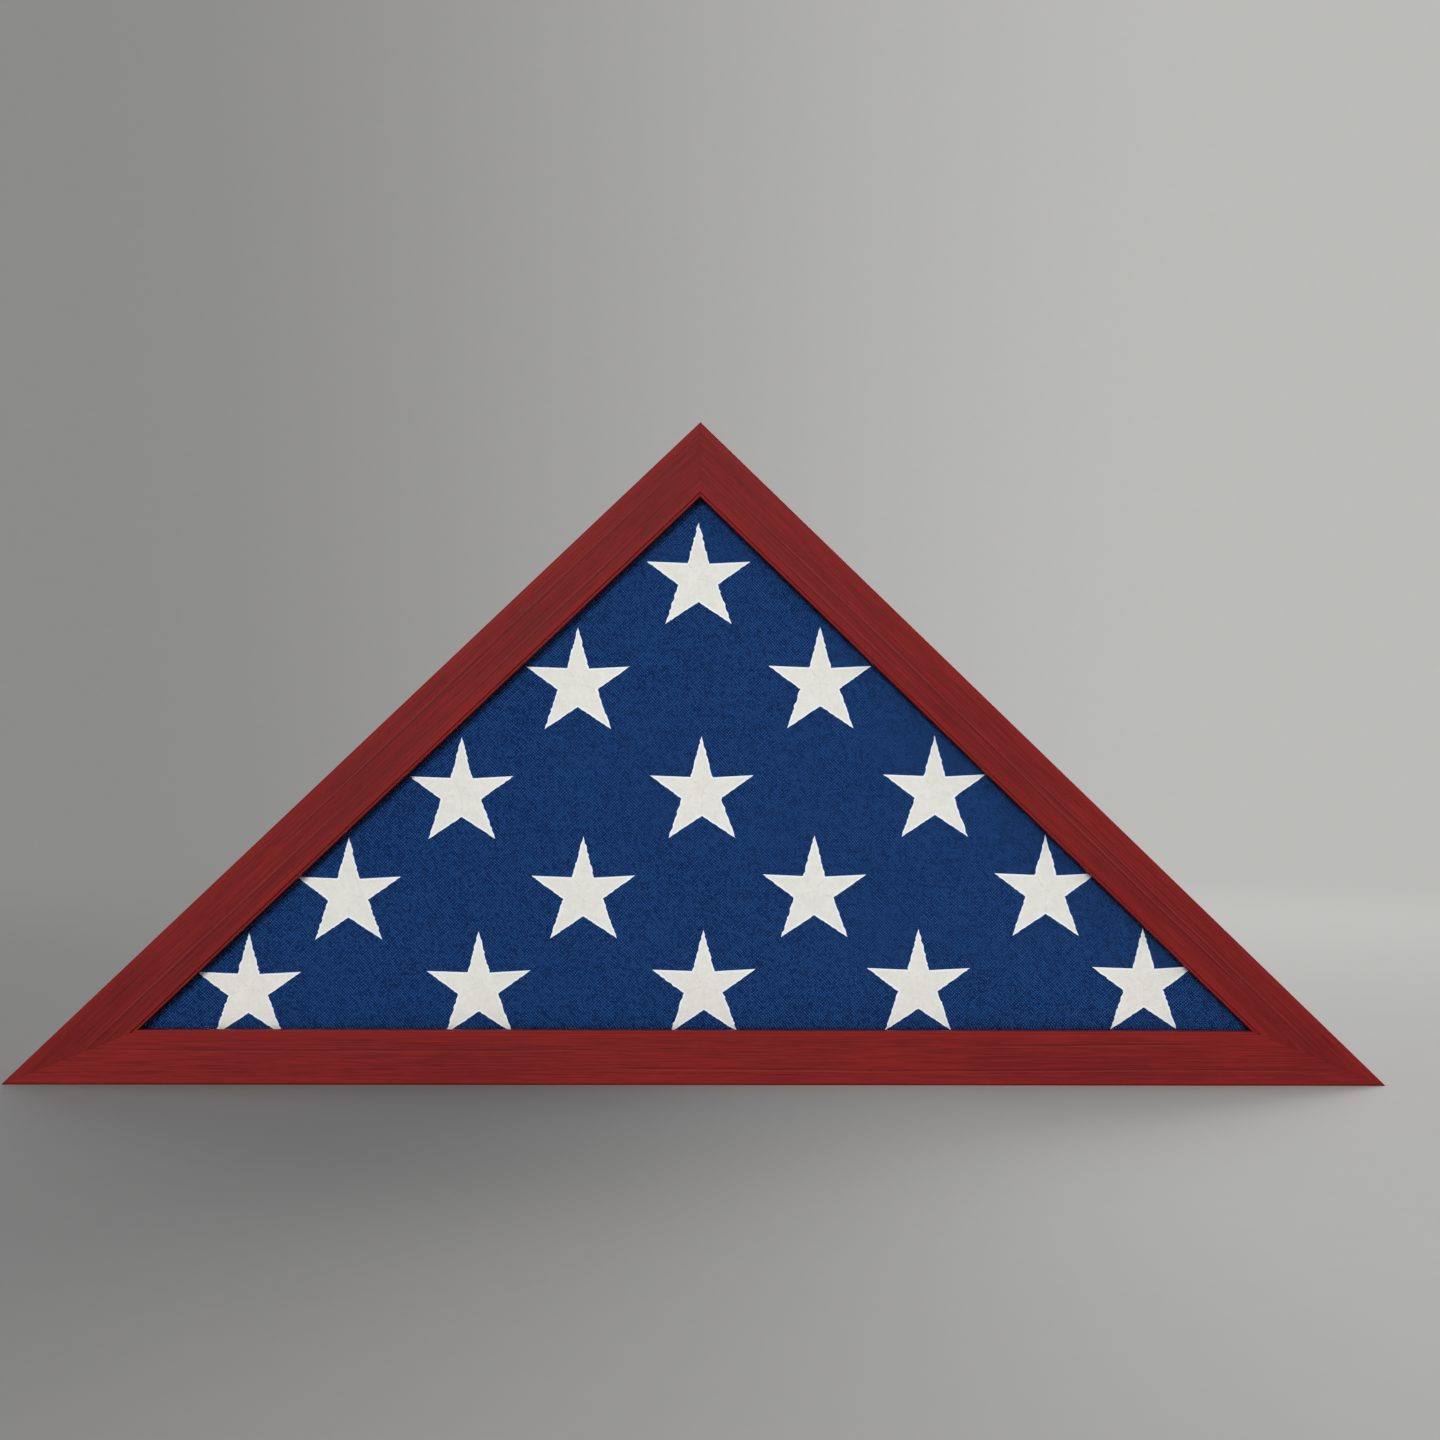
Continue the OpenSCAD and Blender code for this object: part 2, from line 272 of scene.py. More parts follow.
def between(tree, value, low, high, out_low=0.0, out_high=1.0):
    """Maps value from low..high to out_low..out_high with soft ends."""
    inputs = {"Value": value, "From Min": low, "From Max": high}
    inputs |= {"To Min": out_low, "To Max": out_high}
    made = add(tree, "ShaderNodeMapRange", inputs, interpolation_type="SMOOTHSTEP")
    return made.outputs["Result"]


def vector_of(tree, x, y, z):
    return add(tree, "ShaderNodeCombineXYZ", {0: x, 1: y, 2: z}).outputs[0]


def dot(tree, vector, direction):
    inputs = {0: vector, 1: tuple(direction)}
    return add(tree, "ShaderNodeVectorMath", inputs, operation="DOT_PRODUCT").outputs["Value"]


def stretched(tree, vector, scale):
    inputs = {0: vector, 1: tuple(scale)}
    return add(tree, "ShaderNodeVectorMath", inputs, operation="MULTIPLY").outputs["Vector"]


def noise(tree, vector, scale=1.0, detail=3.0, roughness=0.5):
    inputs = {"Vector": vector, "Scale": scale, "Detail": detail, "Roughness": roughness}
    return add(tree, "ShaderNodeTexNoise", inputs).outputs["Fac"]


def drawn(tree, place, changes, detail, roughness):
    """Noise with its own number of changes to a metre along each axis."""
    return noise(tree, stretched(tree, place, changes), detail=detail, roughness=roughness)


def group(name, inputs, outputs, build):
    """A shared effect, built once: build(tree, sockets in) returns the sockets out, by name."""
    tree = bpy.data.node_groups.get(name)
    if tree:
        return tree
    tree = bpy.data.node_groups.new(name, "ShaderNodeTree")
    for socket, kind in inputs.items():
        tree.interface.new_socket(socket, in_out="INPUT", socket_type=kind)
    for socket, kind in outputs.items():
        tree.interface.new_socket(socket, in_out="OUTPUT", socket_type=kind)
    entry = tree.nodes.new("NodeGroupInput")
    leave = tree.nodes.new("NodeGroupOutput")
    made = build(tree, {socket: entry.outputs[socket] for socket in inputs})
    for socket, value in made.items():
        tree.links.new(value, leave.inputs[socket])
    return tree


def use(tree, shared, **inputs):
    """Places a shared effect in a material; returns its outputs."""
    made = tree.nodes.new("ShaderNodeGroup")
    made.node_tree = shared
    for name, value in inputs.items():
        wire(tree, value, made.inputs[name.replace("_", " ")])
    return made.outputs


def tune(node, **values):
    """Sets plain values on a node's sockets, whose names have a space for each underscore."""
    for name, value in values.items():
        node.inputs[name.replace("_", " ")].default_value = value


def material(name):
    """A fresh material with its Principled shader, its tree and Object coordinates."""
    mat = bpy.data.materials.new(name)
    mat.use_nodes = True
    tree = mat.node_tree
    shader = tree.nodes["Principled BSDF"]
    place = tree.nodes.new("ShaderNodeTexCoord").outputs["Object"]
    return mat, tree, shader, place


def relief(tree, shader, height, strength, distance):
    inputs = {"Strength": strength, "Distance": distance, "Height": height}
    made = add(tree, "ShaderNodeBump", inputs)
    tree.links.new(made.outputs["Normal"], shader.inputs["Normal"])


# ---- Shared effects ----


def grain_effect():
    """Straight wood grain: long streaks, fine pores and a slow drift of tone."""

    def build(tree, given):
        place = vector_of(tree, given["Along"], given["Across"], given["Depth"])
        streaks = drawn(tree, place, (15, 1050, 1050), 3, 0.65)
        hairs = drawn(tree, place, (48, 2000, 2000), 2, 0.6)
        bands = drawn(tree, place, (7, 150, 150), 2, 0.5)
        patches = drawn(tree, place, (17, 70, 70), 3, 0.55)
        lines = drawn(tree, place, (14, 1500, 1500), 1, 0.4)
        pores = drawn(tree, place, (110, 3800, 3800), 2, 0.5)
        parts = ((streaks, 0.80), (hairs, 1.60), (bands, 0.16), (patches, 0.70))
        tone = minus(tree, weighted(tree, given["Shift"], *parts), 1.13)
        body = blend(tree, between(tree, tone, 0.05, 0.52), given["Dark"], given["Mid"])
        lit = blend(tree, between(tree, tone, 0.50, 0.92), body, given["Light"])
        thin = between(tree, lines, 0.63, 0.71, 0, 0.55)
        lined = blend(tree, thin, lit, given["Light"])
        deep = blend(tree, 0.55, given["Dark"], OPEN_PORE)
        shaded = blend(tree, between(tree, lines, 0.34, 0.27, 0, 0.4), lined, deep)
        pore = between(tree, pores, 0.60, 0.72)
        colour = blend(tree, times(tree, pore, 0.35), shaded, deep)
        height = minus(tree, weighted(tree, streaks, (hairs, 0.4)), times(tree, pore, 0.6))
        return {"Color": colour, "Tone": tone, "Pores": pore, "Height": height}

    inputs = dict.fromkeys(("Along", "Across", "Depth", "Shift"), FLOAT)
    inputs |= dict.fromkeys(("Dark", "Mid", "Light"), COLOUR)
    outputs = {"Color": COLOUR, "Tone": FLOAT, "Pores": FLOAT, "Height": FLOAT}
    return group("Wood grain", inputs, outputs, build)


def line_effect():
    """A mask that is 1 at a distance of 0 and fades to 0 at Width."""

    def build(tree, given):
        far = maths(tree, "ABSOLUTE", given["Distance"])
        share = maths(tree, "DIVIDE", far, given["Width"])
        return {"Mask": between(tree, share, 1.0, 0.0)}

    return group("Soft line", {"Distance": FLOAT, "Width": FLOAT}, {"Mask": FLOAT}, build)


def crowns(tree, rows):
    """Round crowns, one between each whole number of rows and the next."""
    return maths(tree, "ABSOLUTE", maths(tree, "SINE", times(tree, rows, math.pi)))


def weave_effect():
    """Woven threads whose crowns step along a diagonal, with slubs and stray light threads."""

    def build(tree, given):
        place, pitch = given["Vector"], given["Pitch"]
        wander = noise(tree, place, scale=120, detail=1)
        split = add(tree, "ShaderNodeSeparateXYZ", {0: place}).outputs
        down = maths(tree, "DIVIDE", plus(tree, split[0], split[2]), pitch)
        up = maths(tree, "DIVIDE", minus(tree, split[0], split[2]), pitch)
        inward = maths(tree, "DIVIDE", split[1], pitch)
        rows = times(tree, plus(tree, weighted(tree, down, (wander, 1.5)), inward), 0.76)
        steps = times(tree, plus(tree, weighted(tree, up, (wander, 1.7)), inward), 0.60)
        knot = weighted(tree, 0.4, (crowns(tree, steps), 0.6))
        height = times(tree, crowns(tree, rows), knot)
        cell = vector_of(tree, maths(tree, "FLOOR", rows), maths(tree, "FLOOR", steps), 0)
        chance = add(tree, "ShaderNodeTexWhiteNoise", {"Vector": cell}).outputs["Value"]
        slubs = drawn(tree, place, (40, 40, 900), 3, 0.6)
        warp = drawn(tree, place, (950, 950, 90), 2, 0.6)
        grit = noise(tree, place, scale=2600, detail=2, roughness=0.7)
        patches = noise(tree, place, scale=34, roughness=0.6)
        # The crowns of the threads are painted lit and the gaps between them painted in shade; the
        # cells, grit, slubs, warp and patches vary the cloth's own tone
        lit = times(tree, height, weighted(tree, 0.54, (chance, 0.66)))
        lit = weighted(tree, lit, (grit, 0.55), (slubs, 0.20), (warp, 0.06), (patches, 0.10))
        light = between(tree, lit, 0.62, 1.30)
        colour = blend(tree, light, given["Dark"], given["Light"])
        lift = weighted(tree, height, (slubs, 0.5))
        return {"Color": colour, "Height": lift}

    inputs = {"Vector": VECTOR, "Pitch": FLOAT, "Dark": COLOUR, "Light": COLOUR}
    return group("Woven threads", inputs, {"Color": COLOUR, "Height": FLOAT}, build)


def fibre_effect():
    """Matted fibre: pressed board, felt or card, by its scale and contrast."""

    def build(tree, given):
        place = given["Vector"]
        fine = noise(tree, place, scale=given["Scale"], detail=4, roughness=0.7)
        flecks = noise(tree, stretched(tree, place, (0.35, 1, 1.6)), scale=given["Scale"], detail=2)
        broad = noise(tree, place, scale=18)
        mixed = weighted(tree, times(tree, fine, 0.5), (flecks, 0.5))
        dark = times(tree, between(tree, mixed, 0.56, 0.40), given["Contrast"])
        bright = times(tree, between(tree, mixed, 0.54, 0.70), given["Contrast"])
        stained = between(tree, broad, 0.35, 0.75, 0, 0.25)
        colour = blend(tree, dark, given["Base"], given["Dark"])
        colour = blend(tree, bright, colour, given["Light"])
        colour = blend(tree, stained, colour, given["Dark"])
        return {"Color": colour, "Height": mixed}

    inputs = {"Vector": VECTOR, "Scale": FLOAT, "Contrast": FLOAT}
    inputs |= dict.fromkeys(("Base", "Dark", "Light"), COLOUR)
    return group("Matted fibre", inputs, {"Color": COLOUR, "Height": FLOAT}, build)


def plate_effect():
    """Tumbled plating: fine scratches, dull spots and handling marks."""

    def build(tree, given):
        place = given["Vector"]
        scratches = drawn(tree, place, (300, 300, 4200), 2, 0.6)
        crossing = drawn(tree, place, (3600, 300, 420), 2, 0.6)
        spots = noise(tree, place, scale=420, detail=4, roughness=0.65)
        cloud = noise(tree, place, scale=110, detail=2)
        dull = between(tree, spots, 0.52, 0.72)
        colour = blend(tree, times(tree, dull, 0.5), given["Base"], given["Tarnish"])
        rough = weighted(tree, given["Roughness"], (dull, 0.22), (cloud, 0.10))
        height = plus(tree, times(tree, scratches, 0.6), times(tree, crossing, 0.4))
        return {"Color": colour, "Roughness": rough, "Height": height}

    inputs = {"Vector": VECTOR, "Base": COLOUR, "Tarnish": COLOUR, "Roughness": FLOAT}
    outputs = {"Color": COLOUR, "Roughness": FLOAT, "Height": FLOAT}
    return group("Worn plating", inputs, outputs, build)


# ---- Materials ----


def rail_coordinates(tree, place, start, end):
    """How far a point lies along a rail, in from its outer edge, and behind the front face."""
    heading = (end - start).normalized()
    inward = (CENTRE - start) - (CENTRE - start).dot(heading) * heading
    inward.normalize()
    along = minus(tree, dot(tree, place, heading), heading.dot(start))
    across = minus(tree, dot(tree, place, inward), inward.dot(start))
    behind = minus(tree, dot(tree, place, (0, 1, 0)), FRONT_FACE)
    return along, across, behind


def line_mask(tree, distance, width, *shares):
    """A soft line where distance is 0, as wide as width to each side, times all the shares."""
    mask = use(tree, line_effect(), Distance=distance, Width=width)["Mask"]
    for share in shares:
        mask = times(tree, mask, share)
    return mask


def red_edges(tree, colour, across, behind):
    """The stain is redder near both long edges of the face."""
    front = between(tree, behind, 0.0030, 0.0010)
    edges = ((0.0, OUTER_EDGE_WIDTH), (FACE_WIDTH - WINDOW_STEP, WINDOW_EDGE_WIDTH))
    for edge, width in edges:
        off = minus(tree, across, edge)
        colour = blend(tree, line_mask(tree, off, width, front, 0.42), colour, EDGE_RED)
    return colour


def long_lines(tree, colour, name, along, across):
    """Long lines of early and late wood, side by side, which sway a little and fade out."""
    sway = noise(tree, vector_of(tree, times(tree, along, 9), GRAIN_SEED[name], 0), detail=1)
    middle = minus(tree, across, GRAIN_LINE_SWAY / 2)
    wavy = weighted(tree, middle, (sway, GRAIN_LINE_SWAY))
    for inset, first, last in GRAIN_LINES[name]:
        begun = between(tree, along, first, first + GRAIN_LINE_FADE)
        going = between(tree, along, last, last - GRAIN_LINE_FADE)
        length = times(tree, begun, going)
        pair = ((inset, EARLY_WOOD, 0.30), (inset + GRAIN_LINE_GAP, LATE_WOOD, 0.50))
        for at, shade, share in pair:
            off = minus(tree, wavy, at)
            mask = line_mask(tree, off, GRAIN_LINE_WIDTH, length, share)
            colour = blend(tree, mask, colour, shade)
    return colour


def mitre_lines(tree, colour, place, corners):
    """The mitres show as faint hairlines between the two directions of the grain."""
    for corner in corners:
        mitre = (CENTRE - corner).normalized()
        normal = Vector((mitre.z, 0, -mitre.x))
        off = minus(tree, dot(tree, place, normal), normal.dot(corner))
        colour = blend(tree, line_mask(tree, off, MITRE_WIDTH, 0.20), colour, MITRE_DARK)
    return colour


def stained_wood(name, start, end):
    """Satin red stain over straight grain that runs along one rail, from corner to corner."""
    colours = settings().colours
    mat, tree, shader, place = material("stained_wood_" + name)
    along, across, behind = rail_coordinates(tree, place, start, end)
    grain = use(
        tree, grain_effect(),
        Along=plus(tree, along, GRAIN_SEED[name]), Across=across, Depth=behind,
        Shift=RAIL_TONE[name],
        Dark=colours.wood_dark, Mid=colours.wood_mid, Light=colours.wood_light,
    )
    colour = red_edges(tree, grain["Color"], across, behind)
    colour = long_lines(tree, colour, name, along, across)
    colour = mitre_lines(tree, colour, place, (start, end))

    # The wood is a little darker towards the rear edge
    depth = REAR_FACE - FRONT_FACE
    rear = between(tree, behind, depth - 0.004, depth, 0, 0.35)
    colour = blend(tree, rear, colour, colours.wood_dark)
    wire(tree, colour, shader.inputs["Base Color"])
    rough = weighted(tree, 0.42, (grain["Tone"], 0.16), (grain["Pores"], 0.15))
    wire(tree, rough, shader.inputs["Roughness"])
    tune(shader, Specular_IOR_Level=0.06)
    relief(tree, shader, grain["Height"], 0.30, 0.0002)
    return mat


def woven_cloth():
    """The blue field: a diagonal weave with a faint bloom where it turns away."""
    case = settings()
    mat, tree, shader, place = material("woven_cloth")
    threads = use(
        tree, weave_effect(), Vector=place, Pitch=case.sizes.thread_pitch,
        Dark=case.colours.cloth_dark, Light=case.colours.cloth_light,
    )
    wire(tree, threads["Color"], shader.inputs["Base Color"])
    tune(shader, Roughness=0.9, Specular_IOR_Level=0.06)
    tune(shader, Sheen_Weight=0.02, Sheen_Roughness=0.45, Sheen_Tint=(0.10, 0.25, 0.85, 1))
    relief(tree, shader, threads["Height"], 0.6, 0.0002)
    return mat


def quilted_seams(tree, place, right, up, wobble):
    """Broken seams that run in from a star's notches to its middle."""
    turns = times(tree, maths(tree, "ARCTAN2", right, up), STAR_POINTS / math.tau)
    spoke = maths(tree, "ABSOLUTE", minus(tree, maths(tree, "FRACT", turns), 0.5))
    square = times(tree, right, right)
    reach = maths(tree, "SQRT", weighted(tree, square, (up, up)))
    side = times(tree, spoke, times(tree, reach, math.tau / STAR_POINTS))
    bent = weighted(tree, minus(tree, side, 0.025), (wobble, 0.05))
    gaps = between(tree, noise(tree, place, scale=900, detail=1), 0.48, 0.62)
    return line_mask(tree, bent, 0.022, weighted(tree, 0.2, (gaps, 0.6)))


def star_thread():
    """Off-white thread laid side by side: a satin edge painted whiter as its sheen, round a faintly
    quilted middle.
    """
    thread = settings().colours.thread
    mat, tree, shader, place = material("star_thread")
    uv = tree.nodes.new("ShaderNodeUVMap")
    uv.uv_map = "star"
    rim = add(tree, "ShaderNodeAttribute", attribute_name="edge_distance").outputs["Fac"]
    split = add(tree, "ShaderNodeSeparateXYZ", {0: uv.outputs["UV"]}).outputs
    wobble = noise(tree, place, scale=500, detail=2)
    rows = times(tree, plus(tree, split[0], split[1]), 150)
    lay = maths(tree, "SINE", plus(tree, rows, times(tree, wobble, 5)))
    seams = quilted_seams(tree, place, split[0], split[1], wobble)
    grit = noise(tree, place, scale=780, roughness=0.7)
    clouds = noise(tree, place, scale=190, roughness=0.6)
    cloudy = tuple(0.955 * value for value in thread)
    shade = blend(tree, between(tree, clouds, 0.35, 0.65), thread, cloudy)
    shade = blend(tree, between(tree, grit, 0.38, 0.72, 0, 0.30), shade, THREAD_SHADE)
    shade = blend(tree, times(tree, seams, 0.30), shade, SEAM_SHADE)
    # The satin edge is painted whiter and bluer: painted sheen on the satin stitches
    painted_sheen = between(tree, rim, 0.00085, 0.00045)
    shade = blend(tree, times(tree, painted_sheen, 0.8), shade, SATIN_SHEEN_PAINT)
    wire(tree, shade, shader.inputs["Base Color"])
    tune(shader, Roughness=0.78, Specular_IOR_Level=0.15, Sheen_Weight=0.03)
    height = minus(tree, weighted(tree, grit, (lay, 0.4)), seams)
    relief(tree, shader, height, 0.4, 0.00014)
    return mat


def clear_glass():
    """Thin picture glass: it lets shadow rays through, so that the cloth behind it stays lit."""
    mat, tree, shader, place = material("picture_glass")
    smears = noise(tree, place, scale=9, roughness=0.6)
    tune(shader, Base_Color=(0.975, 0.99, 0.985, 1), Transmission_Weight=1.0)
    # Lower than in real glass, so that the pane mirrors little of the pale room
    tune(shader, IOR=1.15)
    wire(tree, between(tree, smears, 0.50, 0.80, 0, 0.035), shader.inputs["Roughness"])
    ray = tree.nodes.new("ShaderNodeLightPath").outputs
    passing = tree.nodes.new("ShaderNodeBsdfTransparent")
    unseen = maths(tree, "MAXIMUM", ray["Is Shadow Ray"], ray["Is Diffuse Ray"])
    inputs = {0: unseen, 1: shader.outputs[0], 2: passing.outputs[0]}
    mixed = add(tree, "ShaderNodeMixShader", inputs)
    tree.links.new(mixed.outputs[0], tree.nodes["Material Output"].inputs["Surface"])
    return mat


def fibre(name, base, dark, light, scale, contrast, roughness, strength, distance, sheen=0.0):
    """Board, felt, card and rubber, which differ by the scale and the depth of their fibres."""
    mat, tree, shader, place = material(name)
    matted = use(
        tree, fibre_effect(), Vector=place, Scale=scale, Contrast=contrast,
        Base=base, Dark=dark, Light=light,
    )
    wire(tree, matted["Color"], shader.inputs["Base Color"])
    tune(shader, Roughness=roughness, Specular_IOR_Level=0.2, Sheen_Weight=sheen)
    relief(tree, shader, matted["Height"], strength, distance)
    return mat


def plated(name, base, tarnish, roughness):
    """Plated steel or brass with fine wear."""
    mat, tree, shader, place = material(name)
    effect = plate_effect()
    worn = use(tree, effect, Vector=place, Base=base, Tarnish=tarnish, Roughness=roughness)
    wire(tree, worn["Color"], shader.inputs["Base Color"])
    wire(tree, worn["Roughness"], shader.inputs["Roughness"])
    tune(shader, Metallic=1.0)
    relief(tree, shader, worn["Height"], 0.25, 0.00003)
    return mat


# ---- Mesh helpers ----


def alone(obj):
    """Leaves one object selected and active, in object mode."""
    if bpy.context.object and bpy.context.object.mode != "OBJECT":
        bpy.ops.object.mode_set(mode="OBJECT")
    bpy.ops.object.select_all(action="DESELECT")
    obj.select_set(True)
    bpy.context.view_layer.objects.active = obj


def coat(obj, mat):
    """Gives an object one material."""
    obj.data.materials.clear()
    obj.data.materials.append(mat)


def dress(node, mat):
    """Gives a node of the frame its finish."""
    coat(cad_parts[node], mat)


def smooth(obj, degrees):
    """Shades an object smooth, apart from its edges that are sharper than that."""
    alone(obj)
    bpy.ops.object.shade_smooth_by_angle(angle=math.radians(degrees))


def face_outward():
    """Turns all the faces outward, in edit mode."""
    bpy.ops.mesh.select_all(action="SELECT")
    bpy.ops.mesh.normals_make_consistent(inside=False)


def coordinates(mesh):
    flat = np.empty(len(mesh.vertices) * 3)
    mesh.vertices.foreach_get("co", flat)
    return flat.reshape(-1, 3)


def set_coordinates(mesh, places):
    mesh.vertices.foreach_set("co", np.ascontiguousarray(places, dtype=float).ravel())
    mesh.update()


def select_edges(obj, wanted):
    """Selects, in edit mode, the edges for which wanted(first place, second place) is true."""
    bpy.ops.mesh.select_mode(type="EDGE")
    bpy.ops.mesh.select_all(action="DESELECT")
    shape = bmesh.from_edit_mesh(obj.data)
    for edge in shape.edges:
        edge.select_set(bool(wanted(edge.verts[0].co, edge.verts[1].co)))
    bmesh.update_edit_mesh(obj.data)


def inset_triangle(inset):
    """The case's outline, moved in from its outer edges."""
    share = 1 - inset / INRADIUS
    return [CENTRE + (corner - CENTRE) * share for corner in (LEFT_CORNER, RIGHT_CORNER, TOP_CORNER)]


def flat_outline(corners, y):
    """A flat face with these corners at y, left in edit mode and selected."""
    bpy.ops.object.select_all(action="DESELECT")
    bpy.ops.mesh.primitive_circle_add(vertices=len(corners), radius=1, fill_type="NGON")
    made = bpy.context.object
    for vertex, corner in zip(made.data.vertices, corners):
        vertex.co = (corner.x, y, corner.z)
    bpy.ops.object.mode_set(mode="EDIT")
    bpy.ops.mesh.select_all(action="SELECT")
    return made


def cloth_layer(name, corners, front, back, corner_round, fold=0.46):
    """A flat fold of cloth: an outline with round corners, and round folds along its edges."""
    layer = flat_outline(corners, front)
    layer.name = name
    bpy.ops.mesh.extrude_region_move(TRANSFORM_OT_translate={"value": (0, back - front, 0)})
    select_edges(layer, lambda a, b: abs(a.y - b.y) > 0.5 * (back - front))
    bpy.ops.mesh.bevel(offset=corner_round, segments=6, affect="EDGES")
    select_edges(layer, lambda a, b: abs(a.y - b.y) < 1e-6)
    bpy.ops.mesh.bevel(offset=fold * (back - front), segments=3, affect="EDGES")
    face_outward()
    bpy.ops.object.mode_set(mode="OBJECT")
    return layer


def remeshed(obj):
    """Even quads all over, which is what cloth needs to bend."""
    alone(obj)
    change = obj.modifiers.new("Remesh", "REMESH")
    change.mode = "VOXEL"
    change.voxel_size = CLOTH_VOXEL
    bpy.ops.object.modifier_apply(modifier=change.name)


def swell(obj, cap):
    """Blows a closed pad up as cloth, and lets no point move further than cap."""
    alone(obj)
    before = coordinates(obj.data)
    change = obj.modifiers.new("Cloth", "CLOTH")
    cloth = change.settings
    cloth.quality = 5
    cloth.mass = 0.3
    cloth.use_pressure = True
    cloth.uniform_pressure_force = CLOTH_PRESSURE
    cloth.effector_weights.gravity = 0
    cloth.tension_stiffness = 12
    cloth.compression_stiffness = 12
    cloth.shear_stiffness = 6
    cloth.bending_stiffness = 0.6
    change.point_cache.frame_start = 1
    change.point_cache.frame_end = CLOTH_FRAMES
    scene = bpy.context.scene
    for step in range(1, CLOTH_FRAMES + 1):
        scene.frame_set(step)
    ready = obj.evaluated_get(bpy.context.evaluated_depsgraph_get())
    after = coordinates(ready.data)
    obj.modifiers.remove(change)
    scene.frame_set(1)
    move = after - before
    far = np.linalg.norm(move, axis=1, keepdims=True)
    set_coordinates(obj.data, before + move * np.minimum(1, cap / np.maximum(far, 1e-9)))


def ripple(x, z):
    """The slow waves of cloth that was pressed flat by hand, from -1 to 1."""
    height = sum(strength * np.sin(a * x + b * z + phase) for strength, a, b, phase in CLOTH_WAVES)
    return height / sum(wave[0] for wave in CLOTH_WAVES)


def soft_layer(name, corners, front, back, corner_round, outward):
    """A layer with an open face, to the front (outward is -1) or to the back (1): it swells
    and ripples there, and never passes the plane of that face."""
    layer = cloth_layer(name, corners, front, back, corner_round, fold=0.3)
    remeshed(layer)
    swell(layer, cap=settings().sizes.crown)
    places = coordinates(layer.data)
    plane = front if outward < 0 else back
    near = np.clip(1 - np.abs(places[:, 1] - plane) / (0.6 * (back - front)), 0, 1)
    wave = ripple(places[:, 0], places[:, 2])
    places[:, 1] += outward * near * (wave - 1) * WAVE_DEPTH
    excess = outward * (places[:, 1] - plane)
    places[:, 1] -= outward * np.maximum(excess, 0) * near
    set_coordinates(layer.data, places)
    alone(layer)
    bpy.ops.object.shade_smooth()
    return layer


def joined(name, parts):
    """One piece of several, in their order."""
    alone(parts[0])
    for part in parts[1:]:
        part.select_set(True)
    bpy.ops.object.join()
    parts[0].name = name
    parts[0].data.name = name
    return parts[0]


# ---- Operators ----


class FLAGCASE_OT_rails(bpy.types.Operator):
    """Stain the three rails, each with its grain along its own length"""

    bl_idname = "flagcase.rails"
    bl_label = "Stained rails"

    def execute(self, context):
        for node, (start, end) in RAILS.items():
            dress(node, stained_wood(node, start, end))
        return {"FINISHED"}


class FLAGCASE_OT_glass(bpy.types.Operator):
    """Glaze the case"""

    bl_idname = "flagcase.glass"
    bl_label = "Glass"

    def execute(self, context):
        dress("glass_pane", clear_glass())
        return {"FINISHED"}


class FLAGCASE_OT_flag(bpy.types.Operator):
    """Fold the flag: a pack of cloth layers with round folds, soft at the front and at the back"""

    bl_idname = "flagcase.flag"
    bl_label = "Folded flag"

    # The last turn of the cloth: its thickness, its gap at the edge, how far it sinks in, and
    # how far up the left and the right side it reaches
    flap = 0.0012
    flap_inset = 0.005
    flap_sunk = 0.0007
    flap_left, flap_right = 0.72, 0.30

    # The layers: their gap at the edge, how unevenly they lie, how far they press into each
    # other, and how round their corners are
    gap = 0.0001
    spread = 0.0010
    pressed = 0.0002
    corner_round, sharp_round = 0.004, 0.002

    def tucked(self, inset, front, back):
        """The last turn of the cloth, tucked across the back of the pack."""
        left, right, top = inset_triangle(inset)
        high = left + (top - left).normalized() * self.flap_left * HALF_BASE
        low = right + (top - right).normalized() * self.flap_right * SIDE_LENGTH
        outline = (left, right, low, high)
        layer = cloth_layer("tucked_flap", outline, front, back, self.sharp_round, fold=0.42)
        smooth(layer, 50)
        return layer

    def layer(self, index, last, corners, low, high):
        """One layer of the pack. The first and the last are soft, since they show."""
        press = self.pressed
        if index == 0:
            back = high + 2 * press
            return soft_layer("front_layer", corners, low, back, self.sharp_round, -1)
        if index == last:
            front = low - 2 * press
            return soft_layer("back_layer", corners, front, high, self.corner_round, 1)
        layer = cloth_layer("layer", corners, low - press, high + press, self.corner_round)
        smooth(layer, 50)
        return layer

    def execute(self, context):
        count = settings().sizes.layers
        draw = random.Random(5)
        front, back = PACK_LOW.y, PACK_HIGH.y - self.flap
        step = (back - front) / count
        inset = PACK_LOW.z
        parts = []
        for index in range(count):
            uneven = draw.uniform(0, self.spread)
            corners = inset_triangle(inset + self.gap + (uneven if index else 0))
            low = front + index * step
            parts.append(self.layer(index, count - 1, corners, low, low + step))
        parts.append(self.tucked(inset + self.flap_inset, back - self.flap_sunk, back + self.flap))
        pack = joined("flag_pack", parts)
        coat(pack, woven_cloth())
        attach(pack, "case")
        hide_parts("folded_flag")
        return {"FINISHED"}


